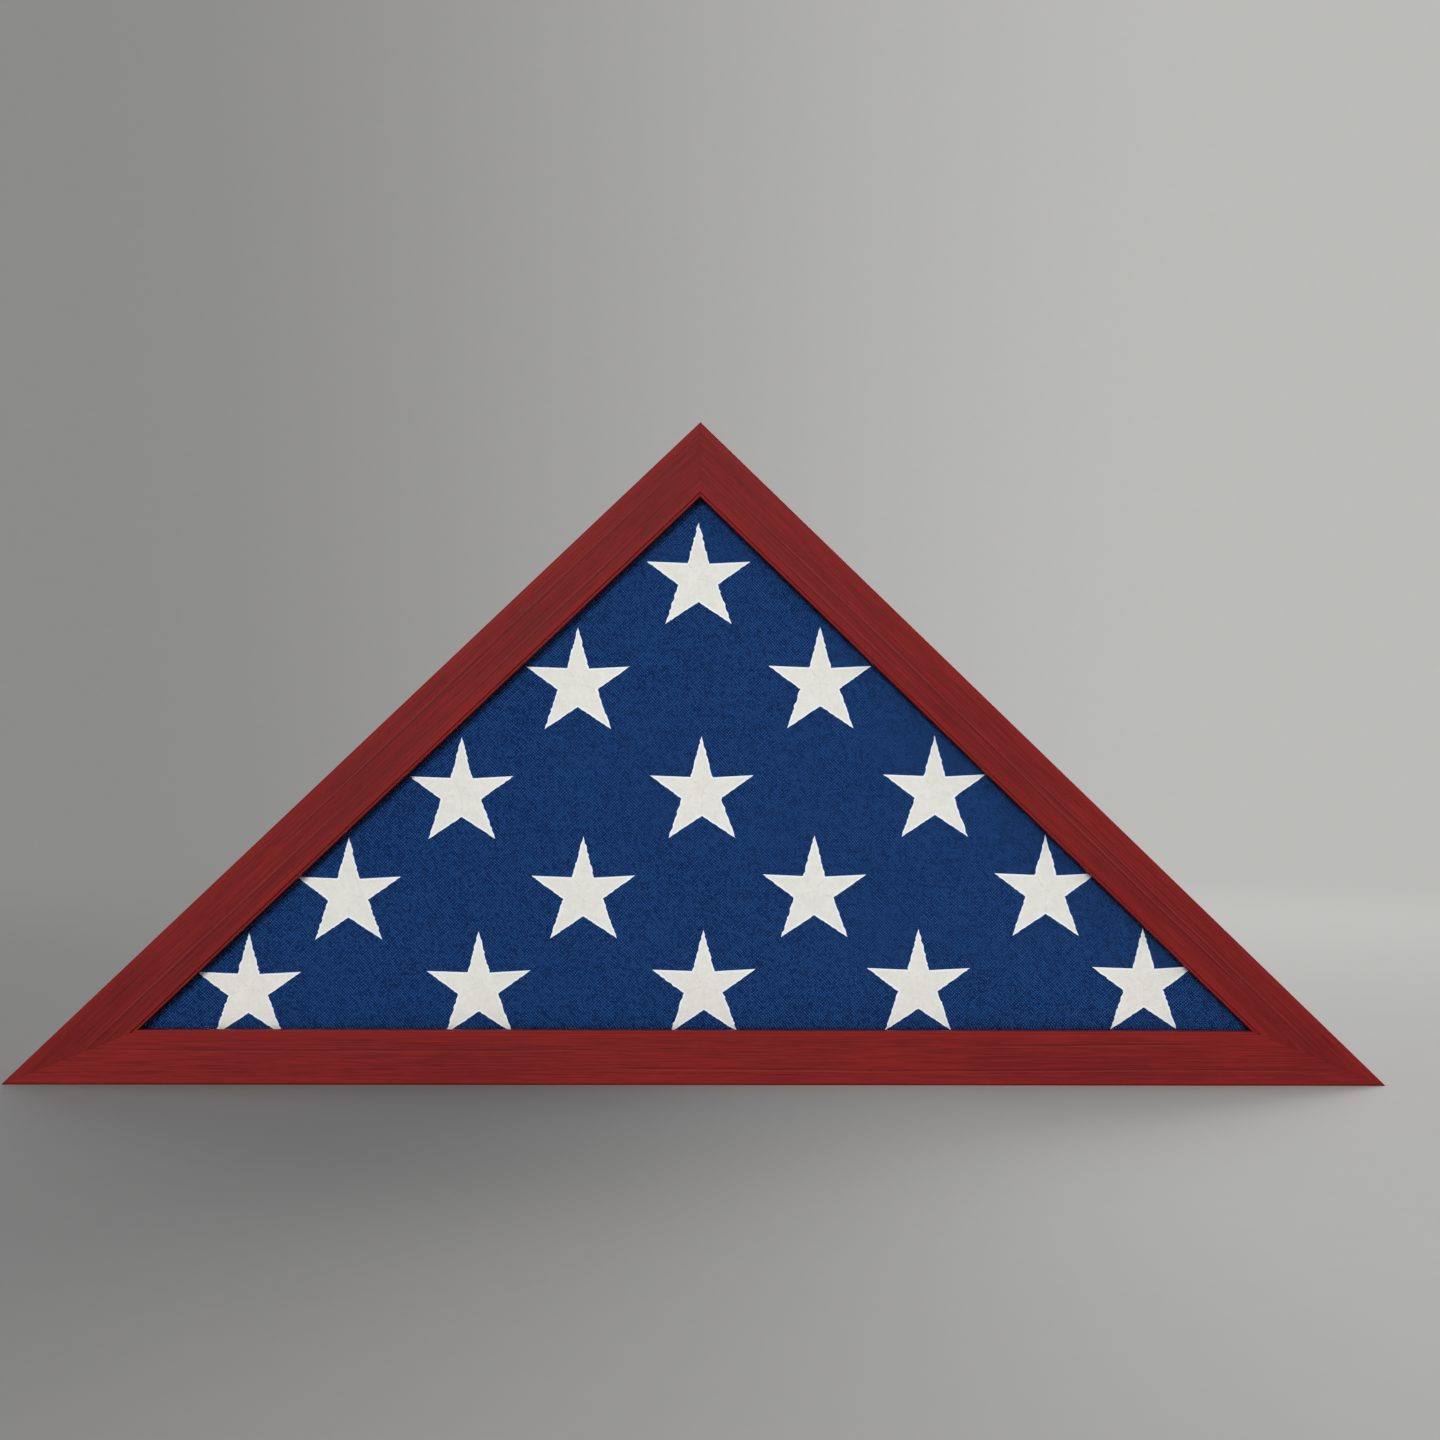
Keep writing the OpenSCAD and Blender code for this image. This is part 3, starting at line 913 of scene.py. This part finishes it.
class FLAGCASE_OT_stars(bpy.types.Operator):
    """Stitch the stars on the field: frayed outlines that follow the cloth"""

    bl_idname = "flagcase.stars"
    bl_label = "Stitched stars"

    # The stitching's thickness, the share of it that the tips lose, and how far it sinks in
    thickness = 0.00042
    dome = 0.35
    sunk = 0.00006

    # How far the field leans, and how far single stars turn from it, in degrees
    tilt = math.radians(0.45)
    least_turn, most_turn = -0.5, 0.3

    # Cuts across a star, the share of its radius past which no stitch strays, and how soon a
    # slanted edge strays fully
    cuts = 17
    firm_tip = 0.97
    slant_gain = 1.4

    def outline(self):
        """The star's ten corners round the origin, in the XZ plane, clockwise from the top."""
        radius = settings().sizes.star_radius
        corners = []
        for k, reach in enumerate(STAR_REACH):
            angle = k * math.pi / STAR_POINTS
            corner = (radius * reach * math.sin(angle), 0, radius * reach * math.cos(angle))
            corners.append(Vector(corner))
        return corners

    def star(self, draw):
        """One star round the origin, in the XZ plane, with its face at y = 0."""
        star = flat_outline(self.outline(), 0)
        bpy.ops.mesh.poke()
        bpy.ops.mesh.select_all(action="SELECT")
        bpy.ops.mesh.subdivide(number_cuts=self.cuts)
        bpy.ops.object.mode_set(mode="OBJECT")
        self.mark(star)
        self.fray(star, draw)
        alone(star)
        bpy.ops.object.mode_set(mode="EDIT")
        face_outward()
        bpy.ops.mesh.extrude_region_move(TRANSFORM_OT_translate={"value": (0, self.thickness, 0)})
        face_outward()
        bpy.ops.object.mode_set(mode="OBJECT")
        return star

    def mark(self, star):
        """Star coordinates for the thread, and each point's distance from the outline."""
        radius = settings().sizes.star_radius
        corners = [np.array((corner.x, corner.z)) for corner in self.outline()]
        places = coordinates(star.data)[:, (0, 2)]
        layer = star.data.uv_layers.new(name="star")
        for loop in star.data.loops:
            layer.data[loop.index].uv = places[loop.vertex_index] / radius
        nearest = np.full(len(places), radius)
        for one, two in zip(corners, corners[1:] + corners[:1]):
            edge = two - one
            share = np.clip((places - one) @ edge / (edge @ edge), 0, 1)
            gap = np.linalg.norm(places - one - share[:, None] * edge, axis=1)
            nearest = np.minimum(nearest, gap)
        distance = star.data.attributes.new("edge_distance", "FLOAT", "POINT")
        distance.data.foreach_set("value", nearest)

    def fray(self, star, draw):
        """Stitches lie across the star, so its slanted edges step in and out and its level
        ones stay straight."""
        sizes = settings().sizes
        shape = bmesh.new()
        shape.from_mesh(star.data)
        for vertex in shape.verts:
            if not vertex.is_boundary or vertex.co.length > sizes.star_radius * self.firm_tip:
                continue
            ends = [edge.other_vert(vertex).co for edge in vertex.link_edges if edge.is_boundary]
            slant = min(1, self.slant_gain * abs((ends[0] - ends[1]).normalized().z))
            vertex.co.x += draw.uniform(-1, 1) * sizes.star_fray * slant
        shape.to_mesh(star.data)
        shape.free()

    def execute(self, context):
        radius = settings().sizes.star_radius
        draw = random.Random(11)
        graph = context.evaluated_depsgraph_get()
        ground = BVHTree.FromObject(bpy.data.objects["flag_pack"], graph)
        stars = []
        for row, (drop, pitch) in enumerate(STAR_ROWS):
            for place in range(row + 1):
                x = (place - row / 2) * pitch + STAR_DRIFT.get((row, place), 0)
                z = PACK_HIGH.z - drop + x * math.sin(self.tilt)
                star = self.star(draw)
                slope = math.radians(draw.uniform(self.least_turn, self.most_turn))
                turn = Matrix.Rotation(slope - 0.5 * self.tilt, 4, "Y")
                star.data.transform(Matrix.Translation((x, 0, z)) @ turn)
                self.lay(star, ground, Vector((x, 0, z)), radius)
                stars.append(star)
        made = joined("stitched_stars", stars)
        coat(made, star_thread())
        smooth(made, 40)
        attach(made, "case")
        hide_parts("embroidered_stars")
        return {"FINISHED"}

    def lay(self, star, ground, middle, radius):
        """Drops a star on the cloth, with its face domed a little and its back sunk in."""
        places = coordinates(star.data)
        for point in places:
            hit = ground.ray_cast(Vector((point[0], GLASS_FRONT, point[2])), Vector((0, 1, 0)))[0]
            level = hit.y if hit else PACK_LOW.y
            away = math.hypot(point[0] - middle.x, point[2] - middle.z) / radius
            on_face = point[1] < 0.5 * self.thickness
            lift = self.thickness * (1.0 - self.dome * away) if on_face else -self.sunk
            point[1] = level - lift
        set_coordinates(star.data, places)


class FLAGCASE_OT_inside(bpy.types.Operator):
    """Finish the spacer strips, the felt and the mitre nails"""

    bl_idname = "flagcase.inside"
    bl_label = "Linings and nails"

    def execute(self, context):
        card = fibre(
            "black_card", base=(0.022, 0.021, 0.021), dark=(0.010, 0.010, 0.010),
            light=(0.05, 0.048, 0.047), scale=900, contrast=0.6, roughness=0.88, strength=0.3,
            distance=0.0001,
        )
        for side in ("bottom", "left", "right"):
            dress(side + "_spacer", card)
        lining = fibre(
            "felt", base=settings().colours.felt, dark=(0.004, 0.004, 0.0045),
            light=(0.035, 0.035, 0.038), scale=700, contrast=0.9, roughness=0.95, strength=0.8,
            distance=0.0006, sheen=0.35,
        )
        dress("felt_lining", lining)
        dress("mitre_v_nails", plated("nail_steel", (0.42, 0.42, 0.43), (0.20, 0.19, 0.18), 0.42))
        return {"FINISHED"}


class FLAGCASE_OT_back(bpy.types.Operator):
    """Finish the back board, its hanger, the turn buttons and the bumpers"""

    bl_idname = "flagcase.back"
    bl_label = "Back and hardware"

    def execute(self, context):
        colours = settings().colours
        board = fibre(
            "pressed_board", base=colours.board, dark=(0.10, 0.055, 0.030),
            light=(0.33, 0.22, 0.135), scale=620, contrast=0.75, roughness=0.62, strength=0.25,
            distance=0.00012,
        )
        dress("back_board", board)
        brass = plated("brass_plate", colours.brass, (0.36, 0.22, 0.08), 0.26)
        dress("sawtooth_hanger", brass)
        dress("hanger_rivets", brass)
        zinc = plated("zinc_plate", colours.zinc, (0.38, 0.39, 0.40), 0.30)
        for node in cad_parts:
            if node.startswith("turn_button_") and node != "turn_button_screws":
                dress(node, zinc)
        steel = plated("screw_steel", (0.55, 0.55, 0.55), (0.30, 0.29, 0.28), 0.22)
        dress("turn_button_screws", steel)
        rubber = fibre(
            "bumper_rubber", base=(0.016, 0.016, 0.017), dark=(0.008, 0.008, 0.008),
            light=(0.045, 0.045, 0.046), scale=1500, contrast=0.4, roughness=0.7, strength=0.15,
            distance=0.00008,
        )
        dress("wall_bumpers", rubber)
        return {"FINISHED"}


class FLAGCASE_OT_stage(bpy.types.Operator):
    """Set the pale floor, the soft lights and the camera"""

    bl_idname = "flagcase.stage"
    bl_label = "Stage"

    floor_radius = 2.4
    floor_sides = 96
    sweep_radius = 1.1
    sweep_steps = 12
    wall_height = 2.2

    # The share of its colour that the paper is painted with where the lamps light it
    lit_share = 0.73

    # Each lamp's place, what it is aimed at, its width and height, and its power
    lamps = {
        "key_light": ((-0.5, -2.7, 0.95), (0, 0, 0.12), (0.9, 0.6), 58),
        "fill_light": ((1.1, -2.3, 1.1), (0, 0, 0.10), (1.6, 1.0), 9),
        "rear_light": ((0.6, 1.9, 1.3), (0, 0, 0.12), (1.6, 1.2), 40),
        "top_light": ((0, 0.1, 2.0), (0, 0, 0.0), (1.6, 1.6), 10),
    }
    sky_strength = 0.45

    # The camera's place, its distance counted from the front face, and its yaw, pitch and roll
    camera_side, camera_distance, camera_height = -0.0131, 0.9, 0.1161
    camera_turn = (1.31, 1.004, 0.231)
    lens = 62.2

    def floor(self):
        """A round floor that sweeps up into a wall, all round the case and its cameras."""
        bpy.ops.object.select_all(action="DESELECT")
        flat, sides = self.floor_radius, self.floor_sides
        bpy.ops.mesh.primitive_circle_add(vertices=sides, radius=flat, fill_type="NGON")
        floor = bpy.context.object
        floor.name = "floor_sweep"
        bpy.ops.object.mode_set(mode="EDIT")
        bpy.ops.mesh.select_mode(type="EDGE")
        bpy.ops.mesh.select_all(action="SELECT")
        bpy.ops.mesh.region_to_loop()
        steps = self.sweep_steps
        radius, height = flat, 0.0
        for step in range(1, steps + 2):
            angle = min(step, steps) * math.pi / 2 / steps
            reach = flat + self.sweep_radius * math.sin(angle)
            level = self.sweep_radius * (1 - math.cos(angle))
            if step > steps:
                level += self.wall_height
            rise = {"value": (0, 0, level - height)}
            bpy.ops.mesh.extrude_edges_move(TRANSFORM_OT_translate=rise)
            wider = (reach / radius, reach / radius, 1)
            bpy.ops.transform.resize(value=wider, center_override=(0, 0, 0))
            radius, height = reach, level
        bpy.ops.object.mode_set(mode="OBJECT")
        bpy.ops.object.shade_smooth()
        coat(floor, self.paper())

    def paper(self):
        """Pale paper, a little darker to the left; further out it glows by itself, so that it
        stays even where the lamps don't reach."""
        colours = settings().colours
        mat, tree, shader, place = material("pale_paper")
        split = add(tree, "ShaderNodeSeparateXYZ", {0: place}).outputs
        out = add(tree, "ShaderNodeVectorMath", {0: place}, operation="LENGTH").outputs["Value"]
        spread = weighted(tree, 0.07, (out, 0.27))
        # The paper is painted darker to the left and lighter to the right: painted shade and painted
        # light
        sideways = between(tree, maths(tree, "DIVIDE", split[0], spread), -1.0, 1.0)
        colour = blend(tree, sideways, colours.backdrop_shaded_side, colours.backdrop_lit_side)
        specks = noise(tree, place, scale=60, detail=4)
        speckled = weighted(tree, 0.985, (specks, 0.03))
        colour = blend(tree, 1.0, colour, speckled, how="MULTIPLY")
        lit = blend(tree, 1.0, colour, (self.lit_share,) * 3, how="MULTIPLY")
        wire(tree, lit, shader.inputs["Base Color"])
        tune(shader, Roughness=0.9, Specular_IOR_Level=0.1)
        glow = add(tree, "ShaderNodeEmission", {"Color": colour, "Strength": 1.0})
        ray = tree.nodes.new("ShaderNodeLightPath").outputs
        seen = maths(tree, "MAXIMUM", ray["Is Camera Ray"], ray["Is Glossy Ray"])
        seen = maths(tree, "MAXIMUM", seen, ray["Is Transmission Ray"])
        share = times(tree, between(tree, out, 0.4, 1.7), seen)
        inputs = {0: share, 1: shader.outputs[0], 2: glow.outputs[0]}
        mixed = add(tree, "ShaderNodeMixShader", inputs)
        tree.links.new(mixed.outputs[0], tree.nodes["Material Output"].inputs["Surface"])
        return mat

    def lamp(self, name, place, aim, size, power):
        bpy.ops.object.light_add(type="AREA", location=place)
        lamp = bpy.context.object
        lamp.name = name
        lamp.data.shape = "RECTANGLE"
        lamp.data.size, lamp.data.size_y = size
        lamp.data.energy = power
        towards = Vector(aim) - Vector(place)
        lamp.rotation_mode = "QUATERNION"
        lamp.rotation_quaternion = towards.to_track_quat("-Z", "Y")

    def camera(self):
        yaw, pitch, roll = map(math.radians, self.camera_turn)
        flat = math.cos(pitch)
        forward = Vector((math.sin(yaw) * flat, math.cos(yaw) * flat, math.sin(pitch)))
        level = Vector((math.cos(yaw), -math.sin(yaw), 0))
        upright = level.cross(forward)
        right = level * math.cos(roll) + upright * math.sin(roll)
        up = right.cross(forward)
        turn = Matrix((right, up, -forward)).transposed()
        place = (self.camera_side, FRONT_FACE - self.camera_distance, self.camera_height)
        bpy.ops.object.camera_add(location=place)
        camera = bpy.context.object
        camera.rotation_mode = "QUATERNION"
        camera.rotation_quaternion = turn.to_quaternion()
        camera.data.sensor_width = 36
        camera.data.lens = self.lens
        camera.data.clip_start = 0.02
        bpy.context.scene.camera = camera

    def execute(self, context):
        scene = context.scene
        scene.view_settings.view_transform = "Standard"
        self.floor()
        for name, values in self.lamps.items():
            self.lamp(name, *values)
        scene.world = bpy.data.worlds.new("studio")
        scene.world.use_nodes = True
        sky = scene.world.node_tree.nodes["Background"]
        tune(sky, Color=(1, 1, 1, 1), Strength=self.sky_strength)
        self.camera()
        return {"FINISHED"}


class FLAGCASE_PT_pieces(bpy.types.Panel):
    """Lists the pieces of the case"""

    bl_label = "Flag Case"
    bl_idname = "FLAGCASE_PT_pieces"
    bl_space_type = "VIEW_3D"
    bl_region_type = "UI"
    bl_category = "Flag Case"

    def draw(self, context):
        for step in STEPS:
            self.layout.operator(step.bl_idname)
        case = context.scene.flag_case
        for values in (case.colours, case.sizes):
            box = self.layout.box()
            for name in values.__annotations__:
                box.prop(values, name)


STEPS = (
    FLAGCASE_OT_stage, FLAGCASE_OT_rails, FLAGCASE_OT_glass, FLAGCASE_OT_flag,
    FLAGCASE_OT_stars, FLAGCASE_OT_inside, FLAGCASE_OT_back,
)
CLASSES = (CaseColours, CaseSizes, CaseSettings, *STEPS, FLAGCASE_PT_pieces)


def register():
    for kind in CLASSES:
        bpy.utils.register_class(kind)
    bpy.types.Scene.flag_case = PointerProperty(type=CaseSettings)


def unregister():
    del bpy.types.Scene.flag_case
    for kind in reversed(CLASSES):
        bpy.utils.unregister_class(kind)


def main():
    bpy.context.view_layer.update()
    register()
    for step in STEPS:
        area, name = step.bl_idname.split(".")
        getattr(getattr(bpy.ops, area), name)()


if __name__ == "__main__":
    main()
